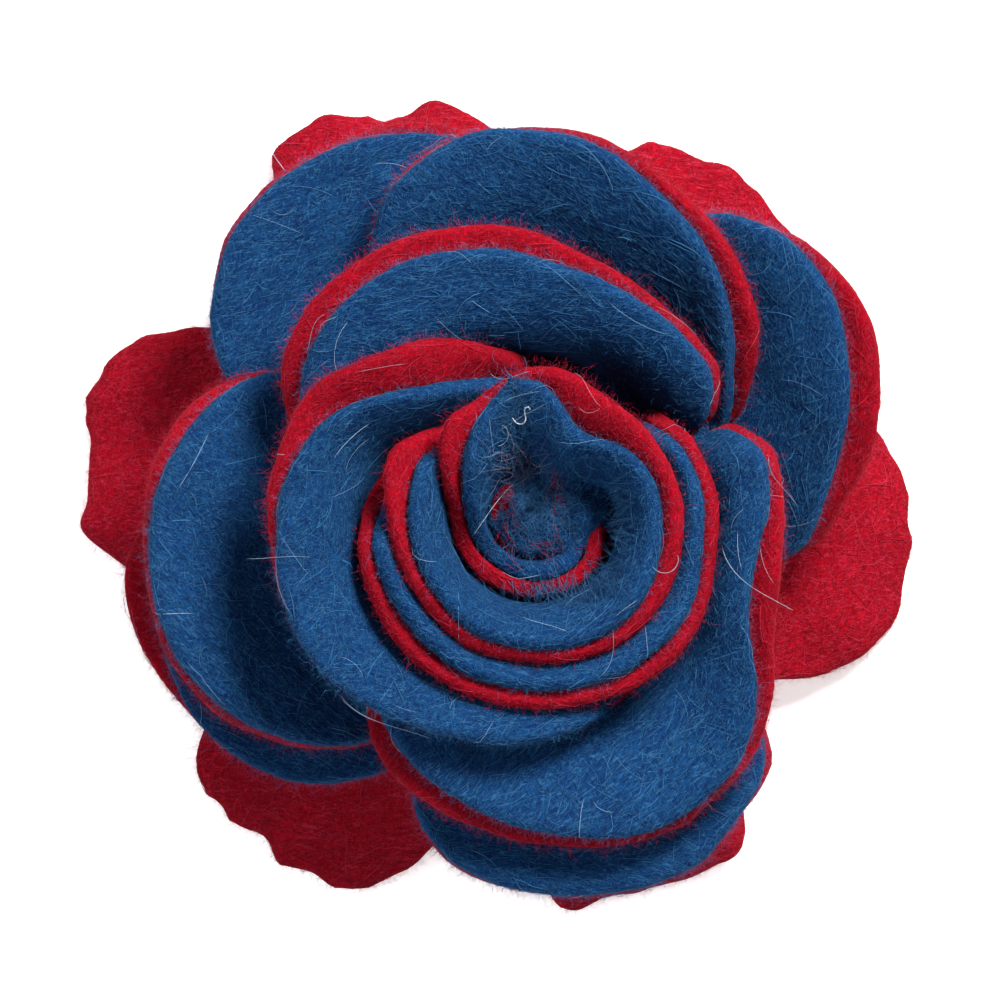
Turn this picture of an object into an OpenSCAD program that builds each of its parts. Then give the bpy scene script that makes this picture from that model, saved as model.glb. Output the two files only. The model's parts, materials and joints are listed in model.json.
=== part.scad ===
// Felt rose lapel pin: petals of two felt plies, blue in front and red behind,
// rolled and nested about one bud, on a wavy red felt layer with a bar pin behind it.
// +Z is the way the flower faces, +X its right, +Y its top. It rests on z = 0.

/* [Flower] */
// Width across the red back layer
flower_w = 70; // [62:1:90]
// Height of the petals above their feet, the share of 1 in the RISE columns
petal_h = 30; // [26:1:34]
// Distance of the bud's axis to the right of the middle
bud_right = 3.1; // [1:0.1:5]
// Distance of the bud's axis below the middle
bud_down = 1; // [0:0.1:3]

/* [Felt] */
// Thickness of one petal ply
ply_t = 1.4; // [1.1:0.1:1.7]
// Glue line between the two plies of a petal
glue_gap = 0.15; // [0.1:0.05:0.3]
// Clearance between neighbouring petals
nest_gap = 0.2; // [0.2:0.05:0.4]
// Thickness of the back layer
back_t = 1.3; // [1:0.1:1.8]
// Radius of the hole left down the middle of the core roll
core_hole_r = 0.5; // [0.3:0.1:1]
// Radius at which the feet of the open petals begin
feet_r = 1.5; // [1:0.5:4]
// Height of the straight foot of the bud petals
stand_h = 1.2; // [0.8:0.1:2]

/* [Back layer] */
// Depth of one scallop along the edge of a lobe
scallop_d = 0.7; // [0.3:0.1:1]
// Angle from one scallop to the next
scallop_pitch = 10; // [10:5:20]
// Height of the ripples along the edge
ripple_h = 0.6; // [0:0.1:1]

// Flat of the back layer past the ends of the bar pin
hub_margin = 2.5; // [2:0.5:4]

/* [Bar pin] */
// Length of the plate
bar_l = 30; // [26:1:34]
// Width of the plate
bar_w = 6; // [5:0.5:8]
// Thickness of the plate
bar_t = 1; // [0.8:0.1:1.4]
// Diameter of the pin's wire
wire_d = 1; // [0.8:0.1:1.2]
// Clear height between the wire and the plate, for the cloth
cloth_gap = 4.3; // [4.2:0.1:5.5]
// Length of the knuckle and of the catch at the ends of the plate
post_l = 3; // [2.5:0.5:4]
// Width of the knuckle and of the catch
post_w = 4; // [3:0.5:5]

/* [Colours] */
// Front ply of the petals
front_colour = "#1D5490";
// Rear ply of the petals
rear_colour = "#B3102C";
// Back layer
back_colour = "#B8162F";
// Bar pin
steel_colour = "#B9BCC0";

/* [Hidden] */

flower_r = flower_w / 2;
petal_t = 2 * ply_t + glue_gap;
pitch = petal_t + nest_gap;
core_r = core_hole_r + petal_t / 2;
plate_z = wire_d + cloth_gap;
back_z = plate_z + bar_t + nest_gap;
feet_z = back_z + back_t + nest_gap;

// Columns of the petal tables, a row for each section round the bud's axis. AZ is the
// section's angle and RANK counts petals outward from the core. FLARE is how far the rim
// stands out from where the petal begins to rise, and OVER how far the rear ply reaches past
// the front one, both as shares of flower_r. RISE is a share of petal_h. The last row of the bud
// wrap meets the first of the inner roll, and their rims run on as one spiral.
AZ = 0;
RANK = 1;
FLARE = 2;
RISE = 3;
OVER = 4;

CORE_ROLL = [
    [104, 0, 0.01, 0.28, -0.01],
    [116, 0, 0.02, 0.31, -0.02],
    [150, 0, 0.02, 0.31, -0.02],
    [190, 0, 0.01, 0.29, -0.02],
    [220, 0, 0.01, 0.27, -0.02],
    [260, 0, 0.01, 0.26, -0.02],
    [300, 0, 0.01, 0.25, -0.01],
    [322, 0, 0.01, 0.22, -0.01],
    [345, 0, 0.00, 0.17, 0.00],
    [382, 0, 0.00, 0.12, 0.00]
];
INNER_ROLL = [
    [101.7, 1,  0.20, 0.48, -0.01],
    [  110, 1,  0.17, 0.47, -0.01],
    [  120, 1,  0.14, 0.46, 0.00],
    [  130, 1,  0.11, 0.46, 0.05],
    [  138, 1,  0.09, 0.45, 0.07],
    [  146, 1,  0.07, 0.44, 0.06],
    [  158, 1,  0.05, 0.42, 0.02],
    [  172, 1,  0.04, 0.39, 0.00],
    [  186, 1,  0.03, 0.35, 0.00],
    [  205, 1,  0.02, 0.30, 0.00],
    [  235, 1,  0.01, 0.28, 0.00],
    [  270, 1,  0.01, 0.28, 0.00],
    [  305, 1,  0.01, 0.28, 0.00],
    [  328, 1,  0.00, 0.27, 0.00],
    [  345, 1, -0.02, 0.26, 0.00],
    [  358, 1, -0.02, 0.24, 0.00],
    [  366, 1, -0.03, 0.20, 0.00]
];
BUD_WRAP = [
    [  108, 2.0, 0.00, 0.13, 0.00],
    [  117, 2.0, 0.00, 0.14, 0.00],
    [  127, 2.0, 0.01, 0.20, 0.00],
    [  137, 2.0, 0.03, 0.32, 0.02],
    [  150, 2.0, 0.08, 0.40, 0.05],
    [  165, 2.0, 0.08, 0.43, 0.05],
    [  180, 2.0, 0.08, 0.45, 0.02],
    [  210, 2.0, 0.08, 0.44, 0.01],
    [  240, 2.0, 0.09, 0.43, 0.00],
    [  275, 2.0, 0.09, 0.43, 0.00],
    [  300, 2.0, 0.10, 0.43, 0.01],
    [  318, 2.0, 0.10, 0.44, 0.01],
    [  345, 2.0, 0.08, 0.45, 0.02],
    [  368, 2.0, 0.08, 0.46, 0.02],
    [  381, 1.7, 0.10, 0.47, 0.02],
    [  394, 1.2, 0.12, 0.47, 0.04],
    [  408, 0.8, 0.12, 0.47, 0.07],
    [  422, 0.6, 0.12, 0.48, 0.09],
    [  434, 0.6, 0.15, 0.49, 0.08],
    [  444, 0.8, 0.19, 0.49, 0.05],
    [  452, 0.9, 0.20, 0.49, 0.01],
    [460.3, 1.0, 0.20, 0.48, -0.01]
];
OUTER_WRAP = [
    [160, 3, 0.01, 0.19, 0.00],
    [172, 3, 0.04, 0.30, 0.00],
    [184, 3, 0.07, 0.39, 0.00],
    [204, 3, 0.09, 0.40, 0.01],
    [222, 3, 0.09, 0.40, 0.02],
    [250, 3, 0.10, 0.39, 0.02],
    [290, 3, 0.11, 0.39, 0.02],
    [322, 3, 0.12, 0.40, 0.02],
    [345, 3, 0.09, 0.41, 0.00],
    [370, 3, 0.09, 0.41, 0.00],
    [386, 3, 0.07, 0.38, 0.00],
    [396, 3, 0.04, 0.31, 0.00],
    [403, 3, 0.02, 0.20, 0.00]
];
SPIRAL_PETAL = [
    [ 92, 3.0, 0.01, 0.18, 0.02],
    [101, 3.0, 0.02, 0.26, 0.06],
    [112, 3.0, 0.04, 0.33, 0.10],
    [127, 3.0, 0.08, 0.42, 0.10],
    [141, 3.3, 0.12, 0.43, 0.09],
    [150, 3.8, 0.14, 0.42, 0.08],
    [157, 4.0, 0.16, 0.41, 0.05],
    [170, 4.0, 0.19, 0.41, 0.02],
    [187, 4.0, 0.22, 0.40, 0.00],
    [208, 4.0, 0.23, 0.39, -0.03],
    [226, 4.0, 0.20, 0.38, -0.04],
    [250, 4.0, 0.16, 0.36, -0.05],
    [275, 4.0, 0.13, 0.33, -0.05],
    [290, 4.0, 0.10, 0.28, -0.04],
    [300, 4.0, 0.05, 0.19, -0.02],
    [307, 4.0, 0.02, 0.10, 0.00]
];
CROWN_PETAL = [
    [ 28, 4.0, 0.06, 0.18, 0.00],
    [ 38, 4.0, 0.13, 0.31, 0.00],
    [ 55, 4.0, 0.15, 0.35, 0.00],
    [ 70, 4.0, 0.17, 0.37, 0.01],
    [ 85, 4.0, 0.20, 0.38, 0.04],
    [102, 4.0, 0.24, 0.38, 0.05],
    [118, 4.0, 0.28, 0.37, 0.05],
    [130, 4.1, 0.27, 0.36, 0.05],
    [141, 4.5, 0.22, 0.34, 0.05],
    [151, 4.9, 0.16, 0.29, 0.05],
    [160, 5.0, 0.10, 0.20, 0.02],
    [166, 5.0, 0.05, 0.12, 0.00]
];
FOLD_PETAL = [
    [226, 5.0, 0.05, 0.11, 0.02],
    [235, 5.0, 0.13, 0.19, 0.05],
    [247, 5.0, 0.18, 0.23, 0.04],
    [262, 5.0, 0.23, 0.24, 0.03],
    [278, 5.0, 0.28, 0.23, 0.02],
    [295, 5.0, 0.30, 0.23, 0.01],
    [309, 5.0, 0.27, 0.24, 0.01],
    [315, 4.8, 0.26, 0.26, 0.02],
    [321, 4.4, 0.25, 0.28, 0.03],
    [327, 4.1, 0.21, 0.31, 0.04],
    [335, 4.0, 0.15, 0.34, 0.06],
    [348, 4.0, 0.13, 0.36, 0.05],
    [365, 4.0, 0.15, 0.37, 0.01],
    [378, 4.0, 0.16, 0.36, 0.00],
    [385, 4.0, 0.10, 0.20, 0.00]
];
TOP_PETAL = [
    [ 24, 4.2, 0.04, 0.02, 0.00],
    [ 32, 4.2, 0.10, 0.14, 0.04],
    [ 42, 4.2, 0.17, 0.22, 0.05],
    [ 53, 4.2, 0.26, 0.26, 0.03],
    [ 66, 4.2, 0.34, 0.28, 0.02],
    [ 78, 4.2, 0.42, 0.29, 0.00],
    [ 90, 4.2, 0.45, 0.29, -0.02],
    [101, 4.2, 0.46, 0.27, -0.02],
    [110, 4.2, 0.42, 0.23, -0.02],
    [118, 4.2, 0.35, 0.17, -0.02],
    [125, 4.2, 0.24, 0.09, -0.02],
    [130, 4.2, 0.12, 0.03, -0.02]
];
LEFT_PETAL = [
    [145, 5, 0.06, 0.02, -0.01],
    [151, 5, 0.18, 0.09, -0.01],
    [160, 5, 0.28, 0.15, 0.02],
    [172, 5, 0.36, 0.19, 0.01],
    [187, 5, 0.39, 0.20, -0.01],
    [200, 5, 0.39, 0.19, 0.00],
    [212, 5, 0.34, 0.17, 0.00],
    [224, 5, 0.25, 0.13, -0.01],
    [233, 5, 0.16, 0.08, -0.01],
    [238, 5, 0.07, 0.02, -0.01]
];
BOTTOM_PETAL = [
    [240, 5, 0.09, 0.03, 0.00],
    [247, 5, 0.23, 0.09, 0.00],
    [258, 5, 0.32, 0.13, -0.01],
    [270, 5, 0.36, 0.14, -0.02],
    [284, 5, 0.38, 0.14, -0.02],
    [298, 5, 0.37, 0.13, -0.02],
    [309, 5, 0.31, 0.11, -0.01],
    [317, 5, 0.22, 0.08, 0.01],
    [322, 5, 0.08, 0.02, 0.01]
];
CORNER_PETAL = [
    [ 80, 5, 0.12, 0.02, 0.00],
    [ 90, 5, 0.28, 0.08, 0.00],
    [105, 5, 0.41, 0.15, 0.02],
    [120, 5, 0.46, 0.19, -0.01],
    [131, 5, 0.47, 0.20, -0.01],
    [142, 5, 0.43, 0.19, -0.01],
    [150, 5, 0.36, 0.15, -0.02],
    [157, 5, 0.26, 0.10, -0.02],
    [162, 5, 0.14, 0.04, -0.02]
];
RIGHT_PETAL = [
    [-13, 4.2, 0.07, 0.02, 0.00],
    [ -8, 4.2, 0.18, 0.10, 0.00],
    [  1, 4.2, 0.22, 0.17, 0.02],
    [ 10, 4.2, 0.26, 0.21, 0.06],
    [ 20, 4.2, 0.33, 0.25, 0.07],
    [ 31, 4.2, 0.40, 0.28, 0.05],
    [ 42, 4.2, 0.43, 0.28, 0.01],
    [ 53, 4.2, 0.41, 0.26, -0.02],
    [ 62, 4.2, 0.35, 0.18, -0.02],
    [ 69, 4.2, 0.25, 0.09, -0.02],
    [ 74, 4.2, 0.13, 0.02, -0.02]
];
UNDER_PETAL = [
    [170, 5, 0.14, 0.01, 0.00],
    [176, 5, 0.30, 0.04, 0.03],
    [186, 5, 0.39, 0.07, 0.06],
    [198, 5, 0.41, 0.09, 0.04],
    [209, 5, 0.41, 0.10, 0.00],
    [219, 5, 0.38, 0.09, -0.01],
    [229, 5, 0.31, 0.07, -0.01],
    [238, 5, 0.21, 0.04, -0.01],
    [243, 5, 0.10, 0.01, -0.01]
];

// The six lobes of the back layer: direction, half of the angle that a lobe takes up, and
// reach as a share of flower_r
LOBE_AZ = 0;
LOBE_HALF = 1;
LOBE_REACH = 2;
LOBES = [
    [ 60, 25, 0.95],
    [114, 23, 1.07],
    [170, 23, 1.10],
    [231, 24, 1.05],
    [287, 22, 0.97],
    [353, 27, 0.92]
];
notch_r = 0.68 * flower_r;
hub_r = bar_l / 2 + hub_margin;

// Grid of the felt pieces
LINE_STEPS = 5;
BACK_COLUMNS = 108;
BACK_RINGS = 2;
$fn = 48;

// Value of one column of a table at an angle, along a smooth curve through its rows
function row_at(table, a) = max([for (i = [0 : len(table) - 2]) if (table[i][AZ] <= a) i]);
function slope(table, col, i) =
    let (lo = max(i - 1, 0), hi = min(i + 1, len(table) - 1))
    (table[hi][col] - table[lo][col]) / (table[hi][AZ] - table[lo][AZ]);
function at(table, col, a) =
    let (
        i = row_at(table, a),
        run = table[i + 1][AZ] - table[i][AZ],
        s = (a - table[i][AZ]) / run,
        lean_in = slope(table, col, i) * run,
        lean_out = slope(table, col, i + 1) * run
    )
    (2 * s ^ 3 - 3 * s ^ 2 + 1) * table[i][col] + (s ^ 3 - 2 * s ^ 2 + s) * lean_in
    + (3 * s ^ 2 - 2 * s ^ 3) * table[i + 1][col] + (s ^ 3 - s ^ 2) * lean_out;

function foot_r(rank) = core_r + rank * pitch;
function bezier(a, b, c, d, s) =
    (1 - s) ^ 3 * a + 3 * (1 - s) ^ 2 * s * b + 3 * (1 - s) * s ^ 2 * c + s ^ 3 * d;

// Middle line of a bud petal at one angle, as [radius, height]: upright, then flaring
function wall_line(table, a, floor_z) =
    let (
        foot = [foot_r(at(table, RANK, a)), floor_z],
        knee = foot + [0, stand_h],
        reach = [at(table, FLARE, a) * flower_r, at(table, RISE, a) * petal_h - stand_h],
        rim = knee + reach
    )
    concat([foot], [for (i = [0 : LINE_STEPS - 1])
        bezier(knee, knee + [0, 0.7 * reach.y],
               rim - [0.6 * reach.x, 0.15 * reach.y], rim, i / (LINE_STEPS - 1))]);

// Middle line of an open petal: flat beneath the bud, then rising to a rim that rolls out
function bowl_line(table, a, floor_z) =
    let (
        foot = [feet_r, floor_z + petal_t / 2],
        bend = [foot_r(at(table, RANK, a)) + petal_t / 2, foot.y],
        reach = [at(table, FLARE, a) * flower_r, at(table, RISE, a) * petal_h],
        rim = bend + reach
    )
    concat([foot], [for (i = [0 : LINE_STEPS - 1])
        bezier(bend, bend + [0.35 * reach.x, 0],
               rim - [0.4 * reach.x, 0.3 * reach.y], rim, i / (LINE_STEPS - 1))]);

// The rear ply reaches past the rim, turned outward
LIP_TURN = 20;
function lipped(line, over) =
    let (
        last = len(line) - 1,
        run = line[last] - line[last - 1],
        dir = atan2(run.y, run.x) - (over > 0 ? LIP_TURN : 0)
    )
    [for (i = [0 : last]) i < last ? line[i] : line[i] + over * [cos(dir), sin(dir)]];

// Unit vector across a line at one of its points, on its upper and inner side
function across(line, i) =
    let (
        run = line[min(i + 1, len(line) - 1)] - line[max(i - 1, 0)],
        unit = run / norm(run)
    )
    [-unit.y, unit.x];

// Closed section of one ply, from its outer face to its inner one
function section(line, outer, inner) = concat(
    [for (i = [0 : len(line) - 1]) line[i] + outer * across(line, i)],
    [for (i = [len(line) - 1 : -1 : 0]) line[i] + inner * across(line, i)]);

// Solid through sections that stand at the given angles about the bud's axis
module turned_skin(angles, sections) {
    m = len(sections[0]);
    n = len(angles);
    points = [for (c = [0 : n - 1]) for (p = sections[c])
        [p.x * cos(angles[c]), p.x * sin(angles[c]), p.y]];
    sides = [for (c = [0 : n - 2]) for (k = [0 : m - 1])
        let (a = c * m + k, b = c * m + (k + 1) % m)
        each [[a, b, b + m], [a, b + m, a + m]]];
    start = [for (k = [m - 1 : -1 : 0]) k];
    end = [for (k = [0 : m - 1]) (n - 1) * m + k];
    translate([bud_right, -bud_down, 0])
        polyhedron(points, concat(sides, [start, end]), convexity = 6);
}

FRONT = 1;
REAR = -1;
BUD = 2;

// One ply of a petal. Row 0 lies on the back layer, row 1 on row 0, and BUD on both
module ply(table, row, side, columns) {
    first = table[0][AZ];
    last = table[len(table) - 1][AZ];
    angles = [for (c = [0 : columns]) first + (last - first) * c / columns];
    floor_z = feet_z + row * pitch;
    lines = [for (a = angles)
        let (line = row == BUD ? wall_line(table, a, floor_z) : bowl_line(table, a, floor_z))
        side == FRONT ? line : lipped(line, at(table, OVER, a) * flower_r)];
    inner = side == FRONT ? petal_t / 2 : -glue_gap / 2;
    turned_skin(angles, [for (line = lines) section(line, inner - ply_t, inner)]);
}

// Outline of the back layer: the lobe that reaches furthest at an angle, with scallops
function off_lobe(lobe, a) =
    let (turn = (a - lobe[LOBE_AZ] + 540) % 360 - 180) min(abs(turn) / lobe[LOBE_HALF], 1);
function lobe_reach(a) = max([for (lobe = LOBES)
    let (off = off_lobe(lobe, a), full = lobe[LOBE_REACH] * flower_r)
    notch_r + (full - notch_r) * sqrt(1 - off ^ 2.5)]);
function lobe_share(a) = (lobe_reach(a) - notch_r) / (flower_r - notch_r);
function back_reach(a) =
    lobe_reach(a) - scallop_d * min(lobe_share(a), 1) * (1 + cos(360 * a / scallop_pitch)) / 2;
function ripple(a) =
    ripple_h * min(lobe_share(a), 1) * (1 + cos(360 * a / (2 * scallop_pitch))) / 2;

// The back layer is flat under the petals and bends down until its lobes touch z = 0
function back_point(a, ring) =
    let (
        s = ring / BACK_RINGS,
        r = hub_r + s * (back_reach(a) - hub_r),
        drop = s ^ 1.3 * (back_reach(a) - hub_r) / (flower_r - hub_r)
    )
    [r, max(back_z * (1 - drop), 0) + s * ripple(a)];

module back_layer() color(back_colour) {
    angles = [for (c = [0 : BACK_COLUMNS - 1]) 360 * c / BACK_COLUMNS];
    rows = 2 * (BACK_RINGS + 1);
    points = concat(
        [for (a = angles) each concat(
            [for (ring = [0 : BACK_RINGS]) back_point(a, ring)],
            [for (ring = [BACK_RINGS : -1 : 0]) back_point(a, ring) + [0, back_t]])],
        [[0, back_z], [0, back_z + back_t]]);
    under = BACK_COLUMNS * rows;
    faces = [for (c = [0 : BACK_COLUMNS - 1])
        let (here = c * rows, next = (c + 1) % BACK_COLUMNS * rows)
        each concat(
            [[under, here, next], [under + 1, next + rows - 1, here + rows - 1]],
            [for (k = [0 : rows - 2])
                each [[here + k, here + k + 1, next + k + 1], [here + k, next + k + 1, next + k]]])];
    turned = [for (i = [0 : len(points) - 1])
        let (a = i < under ? angles[floor(i / rows)] : 0)
        [points[i].x * cos(a), points[i].x * sin(a), points[i].y]];
    translate([bud_right, -bud_down, 0])
        polyhedron(turned, faces, convexity = 6);
}

// Plate, knuckle, catch and wire of a closed bar pin, as one piece
module bar_pin() color(steel_colour) {
    post_x = (bar_l - post_l) / 2;
    translate([bud_right, -bud_down, 0]) {
        translate([-bar_l / 2, -bar_w / 2, plate_z])
            cube([bar_l, bar_w, bar_t]);
        for (side = [-1, 1])
            translate([side * post_x - post_l / 2, -post_w / 2, 0])
                cube([post_l, post_w, plate_z + bar_t / 2]);
        translate([-post_x, 0, wire_d / 2])
            rotate([0, 90, 0])
                cylinder(h = 2 * post_x, d = wire_d);
    }
}

module core_roll_front() color(front_colour) ply(CORE_ROLL, BUD, FRONT, 10);
module core_roll_rear() color(rear_colour) ply(CORE_ROLL, BUD, REAR, 10);
module inner_roll_front() color(front_colour) ply(INNER_ROLL, BUD, FRONT, 18);
module inner_roll_rear() color(rear_colour) ply(INNER_ROLL, BUD, REAR, 18);
module bud_wrap_front() color(front_colour) ply(BUD_WRAP, BUD, FRONT, 30);
module bud_wrap_rear() color(rear_colour) ply(BUD_WRAP, BUD, REAR, 30);
module outer_wrap_front() color(front_colour) ply(OUTER_WRAP, BUD, FRONT, 16);
module outer_wrap_rear() color(rear_colour) ply(OUTER_WRAP, BUD, REAR, 16);
module spiral_petal_front() color(front_colour) ply(SPIRAL_PETAL, BUD, FRONT, 18);
module spiral_petal_rear() color(rear_colour) ply(SPIRAL_PETAL, BUD, REAR, 18);
module crown_petal_front() color(front_colour) ply(CROWN_PETAL, BUD, FRONT, 14);
module crown_petal_rear() color(rear_colour) ply(CROWN_PETAL, BUD, REAR, 14);
module fold_petal_front() color(front_colour) ply(FOLD_PETAL, BUD, FRONT, 18);
module fold_petal_rear() color(rear_colour) ply(FOLD_PETAL, BUD, REAR, 18);
module top_petal_front() color(front_colour) ply(TOP_PETAL, 1, FRONT, 16);
module top_petal_rear() color(rear_colour) ply(TOP_PETAL, 1, REAR, 16);
module left_petal_front() color(front_colour) ply(LEFT_PETAL, 1, FRONT, 13);
module left_petal_rear() color(rear_colour) ply(LEFT_PETAL, 1, REAR, 13);
module bottom_petal_front() color(front_colour) ply(BOTTOM_PETAL, 1, FRONT, 12);
module bottom_petal_rear() color(rear_colour) ply(BOTTOM_PETAL, 1, REAR, 12);
module corner_petal_front() color(front_colour) ply(CORNER_PETAL, 0, FRONT, 14);
module corner_petal_rear() color(rear_colour) ply(CORNER_PETAL, 0, REAR, 14);
module right_petal_front() color(front_colour) ply(RIGHT_PETAL, 0, FRONT, 16);
module right_petal_rear() color(rear_colour) ply(RIGHT_PETAL, 0, REAR, 16);
module under_petal_front() color(front_colour) ply(UNDER_PETAL, 0, FRONT, 11);
module under_petal_rear() color(rear_colour) ply(UNDER_PETAL, 0, REAR, 11);

core_roll_front();
core_roll_rear();
inner_roll_front();
inner_roll_rear();
bud_wrap_front();
bud_wrap_rear();
outer_wrap_front();
outer_wrap_rear();
spiral_petal_front();
spiral_petal_rear();
crown_petal_front();
crown_petal_rear();
fold_petal_front();
fold_petal_rear();
top_petal_front();
top_petal_rear();
left_petal_front();
left_petal_rear();
bottom_petal_front();
bottom_petal_rear();
corner_petal_front();
corner_petal_rear();
right_petal_front();
right_petal_rear();
under_petal_front();
under_petal_rear();
back_layer();
bar_pin();
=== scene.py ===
import json
import math

import bpy
import numpy as np
from bpy.props import FloatProperty, FloatVectorProperty, IntProperty, PointerProperty
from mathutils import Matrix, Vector, noise
from mathutils.bvhtree import BVHTree

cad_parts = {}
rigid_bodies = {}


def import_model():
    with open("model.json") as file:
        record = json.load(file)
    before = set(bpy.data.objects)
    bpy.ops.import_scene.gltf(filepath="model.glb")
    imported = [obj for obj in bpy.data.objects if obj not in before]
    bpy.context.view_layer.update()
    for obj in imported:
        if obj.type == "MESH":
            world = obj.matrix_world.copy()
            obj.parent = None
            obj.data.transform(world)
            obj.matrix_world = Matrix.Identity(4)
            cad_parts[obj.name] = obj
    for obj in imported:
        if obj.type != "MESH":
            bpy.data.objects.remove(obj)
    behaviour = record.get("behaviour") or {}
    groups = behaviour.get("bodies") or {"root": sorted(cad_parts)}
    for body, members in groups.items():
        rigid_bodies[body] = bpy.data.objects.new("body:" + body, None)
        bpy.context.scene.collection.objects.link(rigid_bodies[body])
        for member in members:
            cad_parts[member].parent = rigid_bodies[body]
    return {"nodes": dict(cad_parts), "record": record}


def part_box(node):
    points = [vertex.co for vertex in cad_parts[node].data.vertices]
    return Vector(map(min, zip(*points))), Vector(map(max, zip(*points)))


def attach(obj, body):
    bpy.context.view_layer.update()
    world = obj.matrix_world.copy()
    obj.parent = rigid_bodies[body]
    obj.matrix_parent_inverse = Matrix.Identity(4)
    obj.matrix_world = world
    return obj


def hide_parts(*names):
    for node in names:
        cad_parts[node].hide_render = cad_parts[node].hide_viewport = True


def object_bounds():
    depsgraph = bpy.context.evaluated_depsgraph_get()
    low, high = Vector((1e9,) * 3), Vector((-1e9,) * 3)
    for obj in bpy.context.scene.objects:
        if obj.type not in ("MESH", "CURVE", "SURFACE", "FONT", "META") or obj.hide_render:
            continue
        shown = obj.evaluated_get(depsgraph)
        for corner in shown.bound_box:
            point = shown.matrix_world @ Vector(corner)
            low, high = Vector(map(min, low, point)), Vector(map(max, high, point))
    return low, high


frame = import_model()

CAD_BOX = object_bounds()

bl_info = {
    "name": "Felt rose lapel pin",
    "version": (1, 0, 0),
    "blender": (4, 5, 0),
    "location": "3D View > Sidebar > Felt rose",
    "description": "Makes the felt, nap and loose fibres of a two-colour felt rose pin round its CAD frame",
    "category": "Add Mesh",
}

MM = 0.001
BODY = "root"
TUFT = "bud_tuft"
WELD = 0.002  # corners of a solid nearer than this are one, in mm
SHARP = math.radians(40)  # an edge that turns by more is a corner of the cut
BUD_AXIS = Vector(frame["record"]["mounts"][1]["pos_m"][:2])

# The photograph's frame: its width, its scale, and the point of the flower at its middle, in mm.
PIXELS_WIDE = 1000
PIXELS_PER_MM = 11.814
VIEW_MIDDLE = (0.127, 0.296)

# The stage, in metres and watts: the camera's height, the floor's width and glow, the light from
# all round, and the place, width, power and colour of each lamp. The floor is paper on a light
# table, so that the flower throws hardly any shadow on it.
CAMERA_UP = 1.5
FLOOR_WIDE, FLOOR_GLOW = 3.0, 0.6
AMBIENT = 0.3
LIT_POINT = (0.0, 0.0, 0.01)
LAMPS = {
    "key": ((0.22, 0.34, 0.42), 0.22, 9.0, "#FFF8F0"),
    "fill": ((-0.5, -0.2, 0.5), 0.5, 3.0, "#F4F8FF"),
}

# The petals, from the middle of the bud outward. NAP is the direction in which most fibres of
# the felt lie, in degrees from +X. WIDE and HIGH are the cut piece before it was rolled, in mm.
NAP, WIDE, HIGH = range(3)
PETALS = {
    "core_roll": (20, 15, 11),
    "inner_roll": (-30, 33, 17),
    "bud_wrap": (55, 72, 17),
    "outer_wrap": (10, 67, 13.5),
    "spiral_petal": (35, 79, 15),
    "crown_petal": (25, 58, 16),
    "fold_petal": (60, 74, 14),
    "top_petal": (-25, 42, 34),
    "left_petal": (-15, 40, 33),
    "bottom_petal": (10, 36, 32),
    "corner_petal": (40, 40, 36),
    "right_petal": (75, 38, 33),
    "under_petal": (0, 36, 33),
}
BACK_NAP = 20
LIT_LINES, BACK_LIT_LINES = 0.4, 0.65  # how much the pale lines in the felt, painted highlights of lit fibres, show, from 0 to 1
# The rim of the bud wrap runs on into the rim of the inner roll at this angle about the bud's
# axis, in degrees. Both end within SEAM_NEAR of it.
SEAM_AT, SEAM_NEAR = 101, 1
SEAM_NODES = ("bud_wrap_front", "bud_wrap_rear", "inner_roll_front", "inner_roll_rear")
# The tuft of matted wool that fills the middle of the bud, in mm: its middle and its half axes.
TUFT_AT, TUFT_HALF = (4.1, -0.2, 20.7), (5.2, 4.5, 2.5)
TUFT_FLAT = 0.6  # the lower, the flatter its top and the fuller its sides
TUFT_LUMP, TUFT_LUMP_PITCH, TUFT_NAP = 0.9, 1.6, 70
TUFT_COLUMNS, TUFT_RINGS = 64, 32
FRILL_FROM = 0.72  # the share of the radius at which the frill of the back layer begins
FRILL_CALM = math.radians(-15)  # the side on which the frill is smooth
FRILL_CALMED = 0.8  # the share of the frill that is gone there
FRILL_OUT, FRILL_IN = 0.5, 3  # how far out its tips and how far in its notches reach, in depths
# Tips and notches of the hand-cut edge of the back layer: the direction of each from its middle
# and its half width, in degrees, and how far it stands out, in mm.
TIP_AT, TIP_HALF, TIP_OUT = range(3)
TIPS = (
    (17, 8, 0.8), (55, 3, 1.2), (66, 4, 1.0), (78, 5, -0.8), (106, 4, -1.4), (121, 7, 2.2),
    (150, 3, 1.8), (162, 8, 1.4), (185, 4, 2.3), (192, 5, 0.9), (208, 12, 0.6), (221, 5, 2.3),
    (280, 4, 1.2), (290, 4, -0.8), (305, 5, 1.5), (319, 4, 1.9), (334, 6, -1.1),
)

# The fibres of the felt. A span and a thickness are the least and the most, in shares of the size
# that is set. A shade is the pair of values that shapes its random draw, from dark to pale.
NAP_SEED, STRAY_SEED = 100, 7
NAP_STRAY = 36  # how far most lying fibres stray from the nap, in degrees
NAP_CURL = 14  # how far most of them turn at each step, in degrees
NAP_TILT = 0.4  # how far most of them climb or fall before they are laid on the felt, as a tangent
NAP_STEPS, STRAND_STEPS = 2, 4  # steps along a short fibre and along a long one
NAP_SPAN, NAP_THICK, NAP_SHADE = (0.45, 1.5), (0.6, 1.3), (1.1, 1.9)
FUZZ_THICK, FUZZ_SHADE = (0.7, 1.3), (1.4, 2.0)
RIM_TURN = 0.12  # how far the normal turns over one triangle of a rounded rim, as 1 - cosine
STEEPEST = 0.6  # how far a loose fibre falls along its way, as a share of that way
BACK_SHARE = 0.65  # the pressed back layer has fewer fibres than the petals, as a share
LOOKS_DOWN = -0.5  # the height of a normal, from 1 for up to -1, at which a face looks down
LEFT_BELOW = 0.04  # the share of the fibres that is left on such faces
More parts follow.
